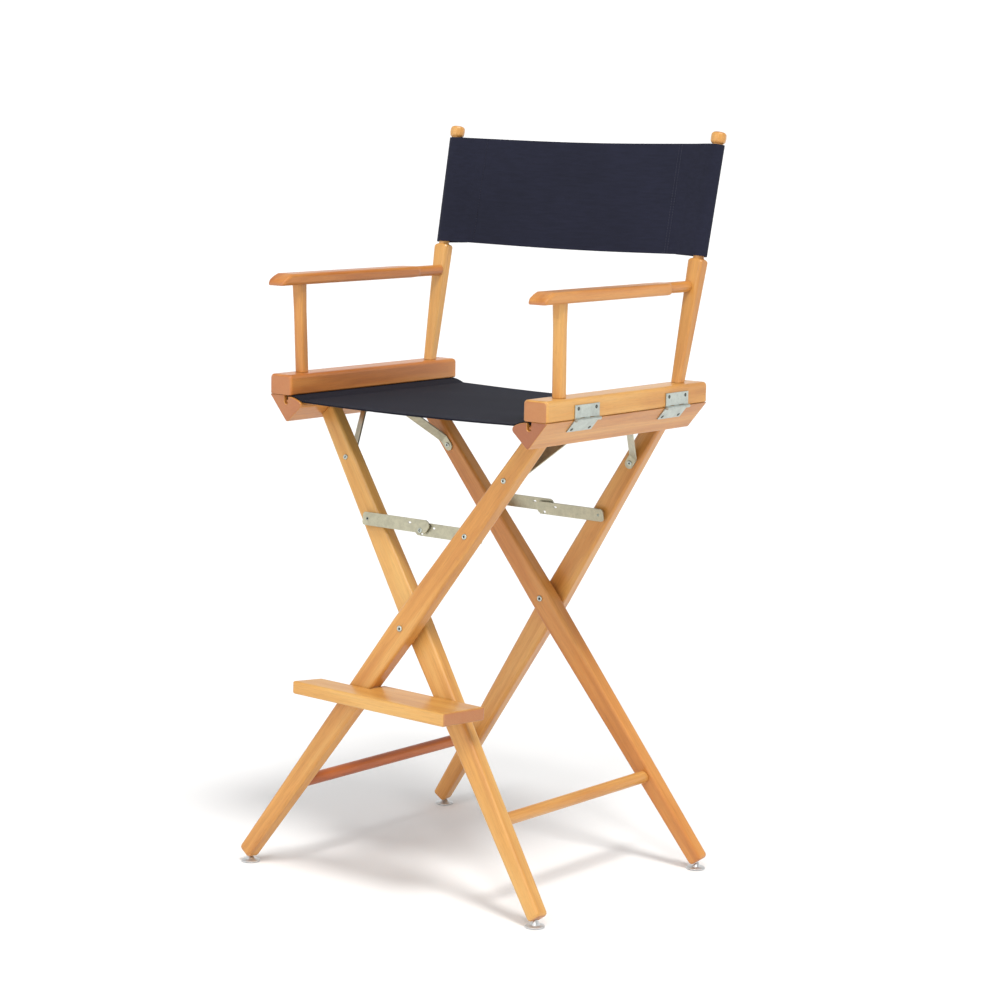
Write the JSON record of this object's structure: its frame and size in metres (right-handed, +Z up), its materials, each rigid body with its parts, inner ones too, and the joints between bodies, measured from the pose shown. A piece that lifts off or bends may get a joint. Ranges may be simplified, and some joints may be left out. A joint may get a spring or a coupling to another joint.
{
  "type": "folding director chair",
  "caption": "Tall wooden folding chair on crossed legs, with hinged arm frames, a canvas sling seat and back, locking spreaders and a footrest.",
  "frame": {"origin": "on the floor at the centre of the overall box", "axes": "+Z up, the chair faces -Y, +X is to the right seen from the front"},
  "size_m": [0.5816, 0.526, 1.1684],
  "materials": {
    "wood": "clear satin lacquer on honey-coloured hardwood",
    "zinc_steel": "bright zinc plate",
    "plated_bar": "satin pale yellow chromate on zinc",
    "canvas": "matt navy cotton duck"
  },
  "bodies": {
    "frame_outer": {"leg_front_outer": "wood", "leg_rear_outer": "wood", "lower_rail_right": "wood", "stretcher_left": "wood", "footrest": "wood", "cross_bolt_front": "zinc_steel", "cross_bolt_rear": "zinc_steel", "hinge_lower_right_front": "zinc_steel", "hinge_lower_right_rear": "zinc_steel", "hinge_pin_right_front": "zinc_steel", "hinge_pin_right_rear": "zinc_steel", "spreader_bolt_front_right": "zinc_steel", "spreader_bolt_rear_right": "zinc_steel", "brace_front_right": "plated_bar", "brace_rear_right": "plated_bar", "brace_bolt_front_right": "zinc_steel", "brace_bolt_rear_right": "zinc_steel", "glide_front_left": "zinc_steel", "glide_rear_left": "zinc_steel", "seat_dowel_right": "wood"},
    "frame_inner": {"leg_front_inner": "wood", "leg_rear_inner": "wood", "lower_rail_left": "wood", "stretcher_right": "wood", "footrest_pin": "zinc_steel", "hinge_lower_left_front": "zinc_steel", "hinge_lower_left_rear": "zinc_steel", "hinge_pin_left_front": "zinc_steel", "hinge_pin_left_rear": "zinc_steel", "spreader_bolt_front_left": "zinc_steel", "spreader_bolt_rear_left": "zinc_steel", "brace_front_left": "plated_bar", "brace_rear_left": "plated_bar", "brace_bolt_front_left": "zinc_steel", "brace_bolt_rear_left": "zinc_steel", "glide_front_right": "zinc_steel", "glide_rear_right": "zinc_steel", "seat_dowel_left": "wood"},
    "arm_frame_right": {"upper_rail_right": "wood", "front_post_right": "wood", "arm_right": "wood", "back_post_right": "wood", "hinge_upper_right_front": "zinc_steel", "hinge_upper_right_rear": "zinc_steel"},
    "arm_frame_left": {"upper_rail_left": "wood", "front_post_left": "wood", "arm_left": "wood", "back_post_left": "wood", "hinge_upper_left_front": "zinc_steel", "hinge_upper_left_rear": "zinc_steel"},
    "link_front_right": {"spreader_link_front_right": "plated_bar"},
    "link_front_left": {"spreader_link_front_left": "plated_bar", "knee_rivet_front": "zinc_steel"},
    "link_rear_left": {"spreader_link_rear_left": "plated_bar", "knee_rivet_rear": "zinc_steel"},
    "link_rear_right": {"spreader_link_rear_right": "plated_bar"},
    "seat_right": {"seat_sling_right": "canvas"},
    "seat_left": {"seat_sling_left": "canvas"},
    "back_right": {"back_sling_right": "canvas"},
    "back_left": {"back_sling_left": "canvas"}
  },
  "joints": [
    {"name": "fold", "type": "hinge", "parent": "frame_outer", "child": "frame_inner", "pos_m": [0, 0, 0.412], "axis": [0, 1, 0], "range_deg": [0, 56], "deforming": ["seat_sling_right", "seat_sling_left", "back_sling_right", "back_sling_left"]},
    {"name": "arm_right_hinge", "type": "hinge", "parent": "frame_outer", "child": "arm_frame_right", "pos_m": [0.2785, 0, 0.7505], "axis": [0, 1, 0], "range_deg": [0, 28]},
    {"name": "arm_left_hinge", "type": "hinge", "parent": "frame_inner", "child": "arm_frame_left", "pos_m": [-0.2785, 0, 0.7505], "axis": [0, 1, 0], "range_deg": [-28, 0]},
    {"name": "link_front_right_bolt", "type": "hinge", "parent": "frame_outer", "child": "link_front_right", "pos_m": [0.10816, -0.15958, 0.56129], "axis": [0, 0.9917, -0.1289], "range_deg": [0, 108]},
    {"name": "link_front_left_bolt", "type": "hinge", "parent": "frame_inner", "child": "link_front_left", "pos_m": [-0.10816, -0.15068, 0.56448], "axis": [0, 0.9917, -0.1289], "range_deg": [-108, 0]},
    {"name": "link_rear_left_bolt", "type": "hinge", "parent": "frame_inner", "child": "link_rear_left", "pos_m": [-0.10816, 0.15068, 0.56448], "axis": [0, 0.9917, 0.1289], "range_deg": [-108, 0]},
    {"name": "link_rear_right_bolt", "type": "hinge", "parent": "frame_outer", "child": "link_rear_right", "pos_m": [0.10816, 0.15958, 0.56129], "axis": [0, 0.9917, 0.1289], "range_deg": [0, 108]},
    {"name": "seat_right_edge", "type": "hinge", "parent": "frame_outer", "child": "seat_right", "pos_m": [0.241, 0, 0.751], "axis": [0, 1, 0], "range_deg": [-46.6, 0]},
    {"name": "seat_crease", "type": "hinge", "parent": "seat_right", "child": "seat_left", "pos_m": [0, 0, 0.7402], "axis": [0, 1, 0], "range_deg": [0, 149.2]},
    {"name": "back_right_edge", "type": "hinge", "parent": "arm_frame_right", "child": "back_right", "pos_m": [0.25839, 0.21479, 1.06], "axis": [0.0279, 0.2007, 0.9792], "range_deg": [-70.7, 0]},
    {"name": "back_crease", "type": "hinge", "parent": "back_right", "child": "back_left", "pos_m": [0, 0.23418, 1.05602], "axis": [0, 0.2008, 0.9796], "range_deg": [0, 141.4]}
  ],
  "couplings": [
    {"joint": "arm_right_hinge", "follows": "fold", "ratio": 0.5},
    {"joint": "arm_left_hinge", "follows": "fold", "ratio": -0.5},
    {"joint": "link_front_right_bolt", "follows": "fold", "ratio": 1.9273},
    {"joint": "link_front_left_bolt", "follows": "fold", "ratio": -1.9273},
    {"joint": "link_rear_left_bolt", "follows": "fold", "ratio": -1.9273},
    {"joint": "link_rear_right_bolt", "follows": "fold", "ratio": 1.9273},
    {"joint": "seat_right_edge", "follows": "fold", "ratio": -0.83191},
    {"joint": "seat_crease", "follows": "fold", "ratio": 2.6638},
    {"joint": "back_right_edge", "follows": "fold", "ratio": -1.2618},
    {"joint": "back_crease", "follows": "fold", "ratio": 2.5237}
  ]
}
